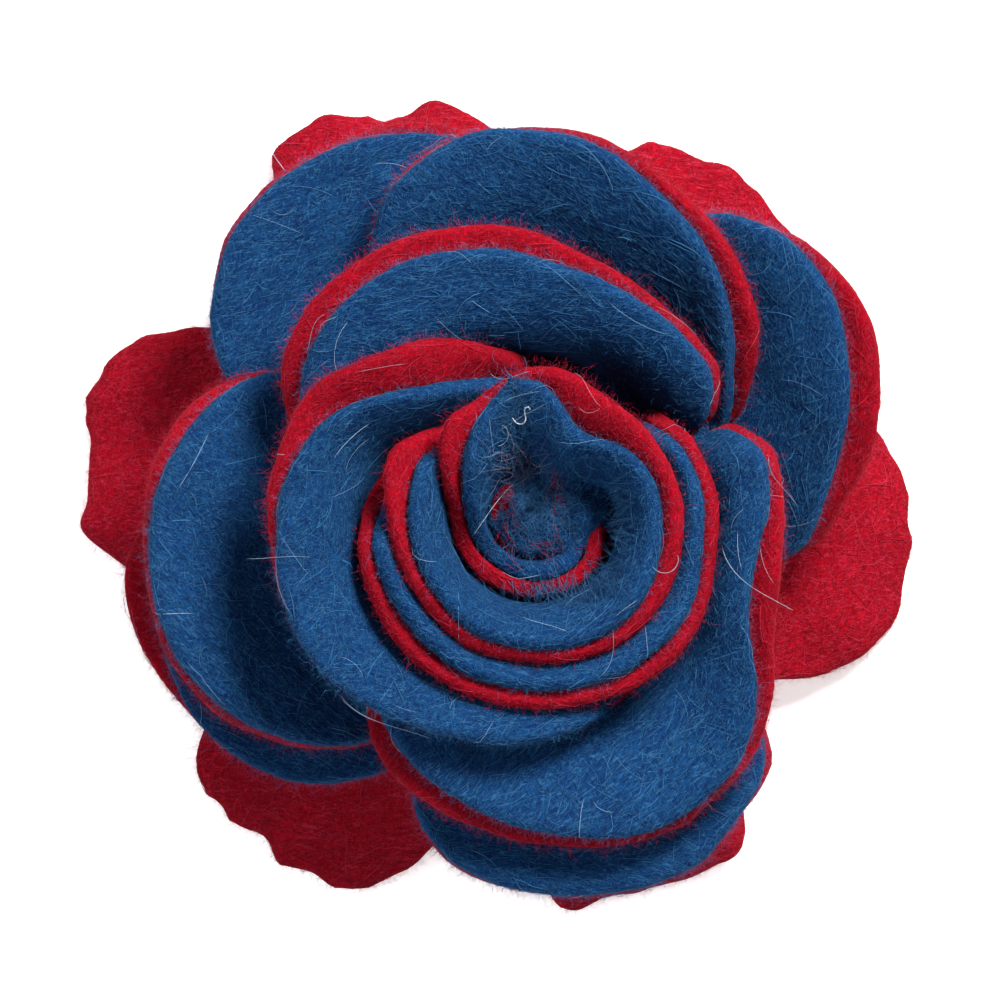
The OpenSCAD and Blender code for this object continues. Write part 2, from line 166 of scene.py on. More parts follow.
SKY_SPREAD = 0.95  # how far a ray that looks for the sky leans off the normal, as a tangent
OFF_FELT = 0.06  # how far off the felt it starts, in mm
OVER_FELT = 0.12  # how far over the felt a loose fibre lies, in mm
FUZZ_LEAN = 1.1  # how far a fine end leans off the normal, as a tangent
FUZZ_BEND = 0.34  # how far the middle of a fine end bows out, as a share of its length
FIBRE_SIDES = 3
ACROSS_FIBRES = (0.31, -0.17, 0.93)  # a direction along which no fibre lies, to find their sides

# The long loose fibres of each ply: steps along one, curl, tilt and shade as above, the least and
# most length, rise and thickness in mm, and the colour of the palest.
STRAY_STEPS, STRAY_CURL, STRAY_TILT, STRAY_SHADE = 6, 9, 0.3, (1.5, 3)
STRAY_LONG, STRAY_RISE, STRAY_THICK = (2.0, 6.5), (0.05, 0.3), (0.022, 0.038)
STRAY_PALEST = "#B4C6DA"

# Loose fibres that show one by one, in mm and degrees: where each starts, the way that it sets
# off, its length, how far it turns in all, how far it swings out and back and how far to either
# side on its way, its thickness, and how pale it is from 0 to 1. Their dyes are the darkest and
# the palest.
START_X, START_Y, HEADING, LONG, TURN, SWING, WAVE, THICK, PALE = range(9)
LOOSE_DYES = ("#6E93B8", "#D2D8DE")
LOOSE = (
    (2.48, 7.66, 10, 3.42, 103, 202, 71, 0.11, 0.75),
    (-2.2, -2.8, 55, 5.8, -14, 6, 0, 0.05, 0.6),
    (-0.7, 10.9, -60, 3.6, 70, 40, 0, 0.04, 0.2),
    (0.2, 6.6, -20, 2.6, -160, 0, 0, 0.04, 0.2),
    (18.6, -3.5, -80, 8.5, 50, 20, 0, 0.045, 0.4),
    (-13.1, -16.4, -45, 3.2, 25, 0, 0, 0.05, 0.4),
    (-21.0, -4.6, 0, 5.6, -8, 8, 0, 0.035, 0.2),
    (12.8, -5.2, -60, 3.4, 170, 0, 0, 0.045, 0.4),
    (-13.4, -15.8, -56, 9.0, 34, 20, 0, 0.045, 0.3),
    (-19.2, 29.8, -60, 2.4, 10, 0, 0, 0.05, 0.3),
    (-10.3, 28.4, 12, 2.8, -40, 0, 0, 0.04, 0.2),
    (8.4, -14.4, 35, 4.4, 60, 15, 0, 0.04, 0.1),
    (-16.0, 12.5, 70, 3.8, -50, 30, 0, 0.04, 0.1),
    (22.5, 4.0, -100, 5.0, 40, 30, 0, 0.04, 0.2),
)
# Tangles of loose wool over the middle of the bud, in mm and degrees: where each is, how far it
# spreads each way, the way that its fibres run, how far they stray from it, and their number. The
# first covers the tuft and the seam one the seam above it. The right, corner and low ones cross the
# slit between the inner roll and the wrap. The red ones are what shows of the rear ply, and the
# grey one is lint. Of each fibre: the least and most length and thickness, its steps, how many
# degrees of tautness there are, and its shade as above.
AT_X, AT_Y, SPREAD_X, SPREAD_Y, WAY, ASTRAY, FIBRES = range(7)
TANGLE_LONG, TANGLE_THICK, TANGLE_STEPS, TANGLE_TAUT = (0.8, 2.6), (0.02, 0.04), 7, 6
TANGLE_SHADE = (1.2, 2.2)
LINT_DYES = ("#2E3350", "#8C87A0")
TANGLES = {
    "bud_tangle": (3.2, -0.3, 2.0, 2.0, 0, 180, 900),
    "bud_tangle_seam": (1.5, 7.0, 0.5, 2.1, 0, 180, 300),
    "bud_tangle_right": (9.2, -1.4, 0.4, 1.9, 0, 60, 200),
    "bud_tangle_corner": (7.9, -5.7, 0.6, 0.6, -45, 60, 110),
    "bud_tangle_low": (4.6, -8.1, 1.9, 0.3, 90, 60, 200),
    "bud_tangle_red_left": (0.6, -0.8, 0.3, 1.5, -72, 40, 44),
    "bud_tangle_red_right": (4.6, 0.5, 0.25, 1.2, -80, 40, 30),
    "bud_tangle_red_low": (2.8, -3.7, 1.2, 0.25, 5, 50, 20),
    "bud_tangle_grey": (1.6, 3.3, 0.8, 0.6, 0, 180, 100),
}


def linear(value):
    """One sRGB channel, from 0 to 1, as linear light."""
    return value / 12.92 if value <= 0.04045 else ((value + 0.055) / 1.055) ** 2.4


def colour(text):
    """An sRGB hex colour as linear red, green and blue."""
    return tuple(linear(int(text[i:i + 2], 16) / 255) for i in (1, 3, 5))


def swatch(name, description, text):
    """A colour that the user may change."""
    return FloatVectorProperty(
        name=name, description=description, subtype="COLOR", size=3, min=0, max=1,
        default=colour(text))


def length(name, description, millimetres, most=20):
    """A length that the user may change, kept in metres."""
    return FloatProperty(
        name=name, description=description, unit="LENGTH", subtype="DISTANCE",
        default=millimetres * MM, min=0, max=most * MM, precision=5)


class FeltRoseSizes(bpy.types.PropertyGroup):
    """Sizes of the felt and of its fibres."""

    edge_hold: FloatProperty(
        name="Edge hold", description="How far the cut edges keep their corners, from worn to crisp",
        default=0.3, min=0, max=1)
    sway: length("Sway", "How far the felt wanders from its even cut shape", 0.45, 2)
    sway_pitch: length("Sway pitch", "Distance from one wander to the next", 9)
    lump: length("Lumps", "Height of the soft lumps of the pressed wool", 0.2, 1)
    lump_pitch: length("Lump pitch", "Distance from one lump to the next", 2.0)
    frill: length("Frill", "How far the cut edge of the back layer wanders", 0.5, 2)
    frill_pitch: length("Frill pitch", "Distance from one notch of that edge to the next", 3.2)
    nap_long: length("Nap length", "Length of the short fibres that lie on the felt", 1.5, 10)
    nap_lift: length("Nap lift", "Height that they rise to", 0.08, 2)
    nap_wide: length("Nap width", "Thickness of one short fibre", 0.036, 0.5)
    nap_count: IntProperty(
        name="Nap count", description="Lying fibres tried on each square centimetre of felt",
        default=480, min=0, max=5000)
    strand_long: length("Strand length", "Length of the long fibres that lie on the felt", 3.6, 10)
    strand_wide: length("Strand width", "Thickness of one long fibre", 0.045, 0.5)
    strand_count: IntProperty(
        name="Strand count", description="Long fibres tried on each square centimetre of felt",
        default=110, min=0, max=2000)
    fuzz_long: length("Fuzz length", "Length of the fine ends that stand off the felt", 0.62, 5)
    fuzz_wide: length("Fuzz width", "Thickness of one fine end", 0.017, 0.5)
    fuzz_count: IntProperty(
        name="Fuzz count", description="Fine ends tried on each square centimetre of felt",
        default=850, min=0, max=5000)
    fuzz_rims: FloatProperty(
        name="Fuzz on rims", description="How much denser the fine ends stand on the cut edges",
        default=12, min=1, max=30)
    stray_count: IntProperty(
        name="Stray count", description="Long loose fibres tried on each ply of a petal",
        default=52, min=0, max=500)
    pin_round: length("Pin rounding", "Radius of the edges of the bar pin", 0.2, 1)


class FeltRoseColours(bpy.types.PropertyGroup):
    """Colours of the felt and of the metal."""

    # Each deep colour is painted shade in the hollows between the fibres of the felt, and each pale one
    # also paints highlights of lit fibres on it.
    blue: swatch("Blue felt", "Front ply of the petals", "#0D3C6A")
    blue_shaded: swatch("Deep blue", "Hollows between the fibres of the front ply", "#071D45")
    blue_pale: swatch("Pale blue", "Loose fibres of the front ply", "#3D77A6")
    red: swatch("Red felt", "Rear ply of the petals", "#960419")
    # Painted shade in the hollows between the fibres of the rear ply and the back layer, as for the front.
    red_shaded: swatch("Deep red", "Hollows between the fibres of the rear ply", "#66020F")
    red_pale: swatch("Pale red", "Loose fibres of the rear ply", "#AC2A44")
    back: swatch("Back red", "Back layer", "#9B071D")
    steel: swatch("Steel", "Bar pin", "#B9BCC0")


def sizes():
    return bpy.context.scene.felt_rose_sizes


def colours():
    return bpy.context.scene.felt_rose_colours


def only(piece):
    """Selects one object and makes it active."""
    for other in bpy.context.selected_objects:
        other.select_set(False)
    piece.select_set(True)
    bpy.context.view_layer.objects.active = piece


def apply_all(piece):
    """Applies the modifiers of a piece, in order."""
    only(piece)
    for modifier in list(piece.modifiers):
        bpy.ops.object.modifier_apply(modifier=modifier.name)


def copy_of(node, name):
    """A new object with the merged mesh of a CAD node, mostly in quads."""
    mesh = frame["nodes"][node].data.copy()
    mesh.name = name
    mesh.materials.clear()
    piece = bpy.data.objects.new(name, mesh)
    bpy.context.scene.collection.objects.link(piece)
    only(piece)
    bpy.ops.object.mode_set(mode="EDIT")
    bpy.ops.mesh.select_all(action="SELECT")
    bpy.ops.mesh.remove_doubles(threshold=WELD * MM)
    bpy.ops.mesh.tris_convert_to_quads(
        face_threshold=math.radians(50), shape_threshold=math.radians(100))
    bpy.ops.object.mode_set(mode="OBJECT")
    return piece


def close_seam(piece):
    """Lengthens the end of a bud petal past the seam by as much as it stopped short of it. Gives
    the corners there."""
    ends = set()
    for corner in piece.data.vertices:
        off = corner.co.xy - BUD_AXIS
        turn = math.atan2(off.y, off.x)
        short = math.radians(SEAM_AT) - turn
        if abs(short) < math.radians(SEAM_NEAR):
            turn += 2 * short
            corner.co.xy = BUD_AXIS + off.length * Vector((math.cos(turn), math.sin(turn)))
            ends.add(corner.index)
    return ends


def crease_edges(piece, hold, sharper_than, kept=()):
    """Gives the edges that turn by more than an angle a crease. Those between kept corners stay
    sharp."""
    mesh = piece.data
    faces = {}
    for face in mesh.polygons:
        for key in face.edge_keys:
            faces.setdefault(key, []).append(face.normal)
    crease = mesh.attributes.new("crease_edge", "FLOAT", "EDGE")
    for edge in mesh.edges:
        near = faces.get(edge.key, [])
        if len(near) == 2 and near[0].angle(near[1], 0) > sharper_than:
            sharp = all(index in kept for index in edge.vertices)
            crease.data[edge.index].value = 1.0 if sharp else hold


def clouds(name, pitch, coloured=False):
    """A soft noise for the Displace modifier."""
    texture = bpy.data.textures.new(name, "CLOUDS")
    texture.noise_scale = pitch
    texture.noise_depth = 1
    texture.cloud_type = "COLOR" if coloured else "GRAYSCALE"
    return texture


def displace(piece, texture, strength, direction="NORMAL"):
    """Adds a Displace modifier that reads its noise at each point's own place."""
    modifier = piece.modifiers.new(texture.name, "DISPLACE")
    modifier.texture = texture
    modifier.texture_coords = "LOCAL"
    modifier.direction = direction
    modifier.strength = strength
    modifier.mid_level = 0.5
    return modifier


def soften(piece, kept=()):
    """Rounds a cut piece of felt and gives it the wander and the lumps of pressed wool."""
    size = sizes()
    crease_edges(piece, size.edge_hold, SHARP, kept)
    rounding = piece.modifiers.new("Rounding", "SUBSURF")
    rounding.levels = rounding.render_levels = 2
    # Two plies that lie on each other wander alike, so their glue line stays closed.
    displace(piece, clouds("Sway", size.sway_pitch, coloured=True), 2 * size.sway, "RGB_TO_XYZ")
    displace(piece, clouds("Lump", size.lump_pitch), size.lump)
    apply_all(piece)
    for corner in piece.data.vertices:
        corner.co.z = max(corner.co.z, 0.0)  # flattened where it rests
    bpy.ops.object.shade_smooth()
    return piece


def add_node(tree, kind, settings=None, links=None):
    """Adds a node. Settings name its inputs or its own values, links give (output, input)."""
    made = tree.nodes.new(kind)
    for name, value in (settings or {}).items():
        if isinstance(name, int) or name in made.inputs:
            made.inputs[name].default_value = value
        else:
            setattr(made, name, value)
    for name, source in (links or {}).items():
        tree.links.new(source, made.inputs[name])
    return made


def felt_material(name, base, deep, pale, nap, lit_lines):
    """Needle-felted wool: short fibres pressed flat in all directions, most along the nap. It gives no
    gloss, a pale sheen where it turns away, and painted streaks of lit and shaded fibres in its colour."""
    found = bpy.data.materials.get(name)
    if found:
        return found
    material = bpy.data.materials.new(name)
    material.use_nodes = True
    tree = material.node_tree
    tree.nodes.clear()
    place = add_node(tree, "ShaderNodeTexCoord").outputs["Object"]

    def streaks(turn, along, across, seed):
        """Noise drawn out along the nap. A wool fibre is 0.03 mm thick, which is too fine to
        show, so a streak stands for a few fibres side by side."""
        turned = add_node(
            tree, "ShaderNodeMapping",
            {"Rotation": (0, 0, -math.radians(nap + turn)), "Location": (seed, 0, 0)},
            {"Vector": place})
        drawn = add_node(
            tree, "ShaderNodeMapping",
            {"Scale": (1 / (along * MM), 1 / (across * MM), 1 / (across * MM))},
            {"Vector": turned.outputs["Vector"]})
        return add_node(
            tree, "ShaderNodeTexNoise",
            {"Scale": 1.0, "Detail": 2.0, "Roughness": 0.6, "Distortion": 0.7},
            {"Vector": drawn.outputs["Vector"]}).outputs["Fac"]

    def lines(noise, width):
        """Thin curved lines where a noise crosses its middle."""
        off = add_node(tree, "ShaderNodeMath", {"operation": "SUBTRACT", 1: 0.5}, {0: noise})
        away = add_node(tree, "ShaderNodeMath", {"operation": "ABSOLUTE"}, {0: off.outputs[0]})
        return add_node(
            tree, "ShaderNodeMapRange",
            {"From Min": 0.0, "From Max": width, "To Min": 1.0, "To Max": 0.0},
            {"Value": away.outputs[0]}).outputs["Result"]

    def mix(factor, a, b, blend="MIX"):
        """Mixes two colours. Each is a colour or a socket, and so is the factor a number or one."""
        made = add_node(tree, "ShaderNodeMix", {"data_type": "RGBA", "blend_type": blend})
        for index, value in ((0, factor), (6, a), (7, b)):
            if isinstance(value, bpy.types.NodeSocket):
                tree.links.new(value, made.inputs[index])
            else:
                made.inputs[index].default_value = value
        return made.outputs[2]

    coarse = streaks(0, 1.6, 0.22, 0.0)
    crossing = streaks(62, 1.1, 0.17, 0.013)
    fine = lines(streaks(-25, 2.6, 0.35, 0.021), 0.035)
    mottle = add_node(
        tree, "ShaderNodeTexNoise",
        {"Scale": 1 / (3.5 * MM), "Detail": 3.0, "Roughness": 0.55}, {"Vector": place}).outputs["Fac"]
    # Painted shade in the hollows between the fibres: along the streaks the colour runs from the deep one
    # to the base.
    depth = add_node(
        tree, "ShaderNodeMath", {"operation": "ADD"}, {0: coarse, 1: crossing}).outputs[0]
    shaded = add_node(
        tree, "ShaderNodeMapRange", {"From Min": 0.78, "From Max": 1.22}, {"Value": depth})
    body = mix(shaded.outputs["Result"], (*deep, 1), (*base, 1))
    # Darker patches at random, toward the same painted shade colour.
    patches = add_node(
        tree, "ShaderNodeMapRange",
        {"From Min": 0.35, "From Max": 0.7, "To Min": 0.0, "To Max": 0.5}, {"Value": mottle})
    body = mix(patches.outputs["Result"], body, (*deep, 1))
    # Painted highlights of lit fibres: pale lines mixed into the colour.
    lit = add_node(
        tree, "ShaderNodeMath", {"operation": "MULTIPLY", 1: lit_lines}, {0: fine}).outputs[0]
    body = mix(lit, body, (*pale, 1))

    height = add_node(
        tree, "ShaderNodeMath", {"operation": "MULTIPLY_ADD", 1: 0.4}, {0: fine, 2: depth}).outputs[0]
    bump = add_node(
        tree, "ShaderNodeBump", {"Strength": 0.8, "Distance": 0.14 * MM}, {"Height": height})
    shader = add_node(
        tree, "ShaderNodeBsdfPrincipled",
        {"Roughness": 0.95, "Specular IOR Level": 0.06, "Sheen Weight": 0.1,
         "Sheen Roughness": 0.4, "Sheen Tint": (*pale, 1)},
        {"Base Color": body, "Normal": bump.outputs["Normal"]})
    add_node(tree, "ShaderNodeOutputMaterial", None, {"Surface": shader.outputs["BSDF"]})
    return material


def nap_material(name, base, pale):
    """Single wool fibres of the nap: dyed like the felt, some paler where the light passes them."""
    found = bpy.data.materials.get(name)
    if found:
        return found
    material = bpy.data.materials.new(name)
    material.use_nodes = True
    tree = material.node_tree
    tree.nodes.clear()
    shade = add_node(tree, "ShaderNodeAttribute", {"attribute_name": "shade"}).outputs["Fac"]
    dyed = add_node(
        tree, "ShaderNodeMix", {"data_type": "RGBA", 6: (*base, 1), 7: (*pale, 1)}, {0: shade})
    shader = add_node(
        tree, "ShaderNodeBsdfPrincipled",
        {"Roughness": 0.7, "Specular IOR Level": 0.12},
        {"Base Color": dyed.outputs[2]})
    add_node(tree, "ShaderNodeOutputMaterial", None, {"Surface": shader.outputs["BSDF"]})
    return material


def steel_material():
    """Nickel-plated spring steel, brushed before it was plated: satin, with fine grinding lines
    along the plate."""
    material = bpy.data.materials.new("nickel_plated_steel")
    material.use_nodes = True
    tree = material.node_tree
    tree.nodes.clear()
    place = add_node(tree, "ShaderNodeTexCoord").outputs["Object"]
    drawn = add_node(
        tree, "ShaderNodeMapping", {"Scale": (1 / (4 * MM), 1 / (0.08 * MM), 1 / (0.08 * MM))},
        {"Vector": place})
    grain = add_node(
        tree, "ShaderNodeTexNoise", {"Scale": 1.0, "Detail": 3.0}, {"Vector": drawn.outputs["Vector"]})
    rough = add_node(
        tree, "ShaderNodeMapRange", {"To Min": 0.24, "To Max": 0.42}, {"Value": grain.outputs["Fac"]})
    bump = add_node(
        tree, "ShaderNodeBump", {"Strength": 0.25, "Distance": 0.01 * MM},
        {"Height": grain.outputs["Fac"]})
    shader = add_node(
        tree, "ShaderNodeBsdfPrincipled",
        {"Base Color": (*colours().steel, 1), "Metallic": 1.0},
        {"Roughness": rough.outputs["Result"], "Normal": bump.outputs["Normal"]})
    add_node(tree, "ShaderNodeOutputMaterial", None, {"Surface": shader.outputs["BSDF"]})
    return material


def felt_of(node):
    """Colours of the felt that a node is cut from, as base, deep (painted shade) and pale."""
    dye = colours()
    if slot_of(node) == "felt_blue":
        return tuple(dye.blue), tuple(dye.blue_shaded), tuple(dye.blue_pale)
    base = dye.back if node == "back_layer" else dye.red
    return tuple(base), tuple(dye.red_shaded), tuple(dye.red_pale)


def slot_of(node):
    """The record's material slot of a felt node."""
    if node == "back_layer":
        return "felt_back"
    return "felt_blue" if node.endswith("_front") or node == TUFT else "felt_red"


def plies():
    """Names of the felt nodes of the petals, in order, each with its petal."""
    return [(f"{petal}_{side}", petal) for petal in PETALS for side in ("front", "rear")]


def felts():
    """Names of all the felt pieces' nodes, with the direction of the nap of each."""
    rows = [(node, PETALS[petal][NAP]) for node, petal in plies()]
    return rows + [("back_layer", BACK_NAP), (TUFT, TUFT_NAP)]


def felt_name(node):
    return f"felt_{node}"


def frill(piece, depth, pitch):
    """Makes the cut edge of a round piece wander in and out, in pointed notches and its own tips."""
    points, triangles = corners_and_triangles(piece.data)
    low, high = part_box("back_layer")
    middle = np.array([(low[i] + high[i]) / 2 for i in range(2)])
    off = points[:, :2] - middle
    reach = np.linalg.norm(off, axis=1)
    way = off / np.maximum(reach, 1e-9)[:, None]
    turned = np.degrees(np.arctan2(off[:, 1], off[:, 0]))
    turn = turned.astype(int) % 360
    rim = np.zeros(360)
    np.maximum.at(rim, turn, reach)
    share = np.clip((reach / rim[turn] - FRILL_FROM) / (1 - FRILL_FROM), 0, 1) ** 2
    radius = float(rim.mean())
    notch = np.array([
        abs(noise.noise(Vector((x * radius / pitch, y * radius / pitch, 0)))) for x, y in way])
    calm = (way @ np.array([math.cos(FRILL_CALM), math.sin(FRILL_CALM)]) + 1) / 2
    depth = depth * (1 - FRILL_CALMED * np.clip(2 * calm - 1, 0, 1))
    out = depth * (FRILL_OUT - FRILL_IN * notch)
    for row in TIPS:
        near = ((turned - row[TIP_AT] + 180) % 360 - 180) / row[TIP_HALF]
        out += row[TIP_OUT] * MM * np.exp(-near ** 2)
    points[:, :2] += way * (share * out)[:, None]
    piece.data.vertices.foreach_set("co", points.reshape(-1))
    piece.data.update()


def ball(columns, rings):
    """Points, edges and faces of a ball of radius 1. Blender's own ball has its faces in another
    order each run, and the fibres on it are drawn by that order."""
    points = [(0.0, 0.0, 1.0)]
    for ring in range(1, rings):
        down = math.pi * ring / rings
        for column in range(columns):
            turn = 2 * math.pi * column / columns
            points.append((
                math.sin(down) * math.cos(turn), math.sin(down) * math.sin(turn), math.cos(down)))
    points.append((0.0, 0.0, -1.0))
    faces = []
    for column in range(columns):
        here, there = 1 + column, 1 + (column + 1) % columns
        faces.append((0, here, there))
        for ring in range(rings - 2):
            above = ring * columns
            below = above + columns
            faces.append((here + above, here + below, there + below, there + above))
        last = (rings - 2) * columns
        faces.append((len(points) - 1, there + last, here + last))
    return points, [], faces


class FELTROSE_OT_petals(bpy.types.Operator):
    """Make the two plies of felt of each petal"""

    bl_idname = "felt_rose.petals"
    bl_label = "Petals"

    def execute(self, context):
        for node, petal in plies():
            piece = copy_of(node, felt_name(node))
            soften(piece, close_seam(piece) if node in SEAM_NODES else ())
            base, deep, pale = felt_of(node)
            name = f"{'blue' if node.endswith('_front') else 'red'}_wool_felt_{petal}"
            piece.data.materials.append(
                felt_material(name, base, deep, pale, PETALS[petal][NAP], LIT_LINES))
            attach(piece, BODY)
            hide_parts(node)
        return {"FINISHED"}


class FELTROSE_OT_tuft(bpy.types.Operator):
    """Make the tuft of matted wool in the middle of the bud"""

    bl_idname = "felt_rose.tuft"
    bl_label = "Bud tuft"

    def execute(self, context):
        name = felt_name(TUFT)
        mesh = bpy.data.meshes.new(name)
        mesh.from_pydata(*ball(TUFT_COLUMNS, TUFT_RINGS))
        piece = bpy.data.objects.new(name, mesh)
        context.scene.collection.objects.link(piece)
        for corner in mesh.vertices:
            corner.co.z = math.copysign(abs(corner.co.z) ** TUFT_FLAT, corner.co.z)
            corner.co = [MM * (at + half * c) for at, half, c in zip(TUFT_AT, TUFT_HALF, corner.co)]
        displace(piece, clouds("Tuft lump", TUFT_LUMP_PITCH * MM), TUFT_LUMP * MM)
        apply_all(piece)
        bpy.ops.object.shade_smooth()
        base, deep, pale = felt_of(TUFT)
        piece.data.materials.append(
            felt_material("matted_blue_wool_tuft", base, deep, pale, TUFT_NAP, LIT_LINES))
        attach(piece, BODY)
        return {"FINISHED"}


class FELTROSE_OT_back_layer(bpy.types.Operator):
    """Make the wavy red felt layer behind the petals"""

    bl_idname = "felt_rose.back_layer"
    bl_label = "Back layer"

    def execute(self, context):
        size = sizes()
        piece = copy_of("back_layer", felt_name("back_layer"))
        soften(piece)
        frill(piece, size.frill, size.frill_pitch)
        base, deep, pale = felt_of("back_layer")
        piece.data.materials.append(
            felt_material("pressed_wool_felt_back", base, deep, pale, BACK_NAP, BACK_LIT_LINES))
        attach(piece, BODY)
        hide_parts("back_layer")
        return {"FINISHED"}


class FELTROSE_OT_bar_pin(bpy.types.Operator):
    """Make the plated bar pin behind the back layer"""

    bl_idname = "felt_rose.bar_pin"
    bl_label = "Bar pin"

    def execute(self, context):
        piece = copy_of("bar_pin", "plated_bar_pin")
        bevel = piece.modifiers.new("Rounding", "BEVEL")
        bevel.width = sizes().pin_round
        bevel.segments = 3
        bevel.limit_method = "ANGLE"
        apply_all(piece)
        bpy.ops.object.shade_smooth_by_angle(angle=SHARP)
        piece.data.materials.append(steel_material())
        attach(piece, BODY)
        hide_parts("bar_pin")
        return {"FINISHED"}


def corners_and_triangles(mesh):
    """Points and triangles of a mesh as arrays."""
    mesh.calc_loop_triangles()
    points = np.empty(len(mesh.vertices) * 3)
    mesh.vertices.foreach_get("co", points)
    triangles = np.empty(len(mesh.loop_triangles) * 3, dtype=np.int32)
    mesh.loop_triangles.foreach_get("vertices", triangles)
    return points.reshape(-1, 3), triangles.reshape(-1, 3)


def felt_tree():
    """A search tree of all the felt, to find what lies open."""
    points, triangles, start = [], [], 0
    for node, nap in felts():
        some, corners = corners_and_triangles(bpy.data.objects[felt_name(node)].data)
        points.append(some)
        triangles.append(corners + start)
        start += len(some)
    return BVHTree.FromPolygons(
        np.concatenate(points).tolist(), np.concatenate(triangles).tolist(), all_triangles=True)


def unit(rows):
    """Rows of an array, each made one long."""
    return rows / np.maximum(np.linalg.norm(rows, axis=1, keepdims=True), 1e-12)


def scattered(mesh, count, rng, rims):
    """Random points on a mesh, with their normals, denser by the given factor on its rounded
    rims."""
    points, triangles = corners_and_triangles(mesh)
    a, b, c = (points[triangles[:, i]] for i in range(3))
    across = np.cross(b - a, c - a)
    area = np.linalg.norm(across, axis=1)
    facing = np.empty(len(mesh.vertices) * 3)
    mesh.vertices.foreach_get("normal", facing)
    na, nb, nc = (facing.reshape(-1, 3)[triangles[:, i]] for i in range(3))
    turn = 1 - np.minimum(np.sum(na * nb, axis=1), np.sum(nb * nc, axis=1))
    share = area * (1 + (rims - 1) * np.clip(turn / RIM_TURN, 0, 1))
    pick = rng.choice(len(triangles), count, p=share / share.sum())
    u, v = rng.random((2, count))
    over = u + v > 1
    u[over], v[over] = 1 - u[over], 1 - v[over]
    at = a[pick] + u[:, None] * (b - a)[pick] + v[:, None] * (c - a)[pick]
    return at, unit(across[pick])


def open_ones(tree, at, normals, rng):
    """Which of the points see the outside along a random direction above the surface."""
    ways = unit(normals + SKY_SPREAD * unit(rng.normal(size=at.shape)))
    start = at + normals * OFF_FELT * MM
    return np.array([
        tree.ray_cast(Vector(p), Vector(d))[0] is None for p, d in zip(start, ways)], dtype=bool)


class Fibres:
    """Fibres of one kind: their middle lines as fibres x stations x 3, and the thickness and
    shade of each."""

    def __init__(self, lines, widths, shades):
        self.lines = lines
        self.widths = widths
        self.shades = shades


def open_points(mesh, count, tree, rng, rims=1):
    """Random points on a mesh that lie open, with their normals. The faces that look down lie
    on what the flower rests on and keep few."""
    at, normals = scattered(mesh, count, rng, rims)
    keep = (normals[:, 2] > LOOKS_DOWN) | (rng.random(count) < LEFT_BELOW)
    at, normals = at[keep], normals[keep]
    keep = open_ones(tree, at, normals, rng)
    return at[keep], normals[keep]


def draped(tree, row, steps=14, taut=4):
    """One loose fibre of the given row, laid over the felt under it like a thread. A tauter one
    spans the hollows."""
    s = (np.arange(steps) + 0.5) / steps
    heading = np.radians(
        row[HEADING] + row[TURN] * s + row[SWING] * np.sin(math.pi * s)
        + row[WAVE] * np.sin(2 * math.pi * s))
    step = row[LONG] / steps
    x = row[START_X] + np.concatenate([[0], np.cumsum(np.cos(heading) * step)])
    y = row[START_Y] + np.concatenate([[0], np.cumsum(np.sin(heading) * step)])
    above = CAD_BOX[1].z + 10 * MM
    z = []
    for px, py in zip(x, y):
        hit = tree.ray_cast(Vector((px * MM, py * MM, above)), Vector((0, 0, -1)))[0]
        z.append(hit.z if hit else (z[-1] if z else 0.0))
    z = np.array(z)
    for _ in range(taut):
        eased = z.copy()
        eased[1:-1] = (z[:-2] + z[1:-1] + z[2:]) / 3
        z = np.maximum(z, eased)
    for _ in range(steps):  # too stiff to fall steeply, it stands off past an edge
        z[1:] = np.maximum(z[1:], z[:-1] - step * MM * STEEPEST)
        z[:-1] = np.maximum(z[:-1], z[1:] - step * MM * STEEPEST)
    return np.stack([x * MM, y * MM, z + OVER_FELT * MM], axis=1)


def needle_arrays(fibres):
    """Points and triangles of closed three-sided fibres that come to a point at each end."""
    lines, widths = fibres.lines, fibres.widths
    count, stations = lines.shape[:2]
    run = np.gradient(lines, axis=1)
    run /= np.maximum(np.linalg.norm(run, axis=2, keepdims=True), 1e-12)
    side = np.cross(run, np.array(ACROSS_FIBRES))
    side /= np.maximum(np.linalg.norm(side, axis=2, keepdims=True), 1e-12)
    up = np.cross(run, side)
    corners = FIBRE_SIDES
    rings = []
    for k in range(corners):
        turn = 2 * math.pi * k / corners
        rings.append(lines + widths[:, None, None] / 2 * (math.cos(turn) * side + math.sin(turn) * up))
    rings = np.stack(rings, axis=2)[:, 1:-1]
    middle = stations - 2
    block = middle * corners + 2
    points = np.concatenate([
        lines[:, :1], rings.reshape(count, middle * corners, 3), lines[:, -1:]], axis=1)
    faces = []
    for k in range(corners):
        nxt = (k + 1) % corners
        faces.append((0, 1 + k, 1 + nxt))
        last = 1 + (middle - 1) * corners
        faces.append((block - 1, last + nxt, last + k))
        for ring in range(middle - 1):
            here = 1 + ring * corners
            there = here + corners
            faces.append((here + k, there + k, there + nxt))
            faces.append((here + k, there + nxt, here + nxt))
    faces = np.array(faces)[:, ::-1]
    triangles = (faces[None] + block * np.arange(count)[:, None, None]).reshape(-1, 3)
    return points.reshape(-1, 3), triangles, np.repeat(fibres.shades, block)


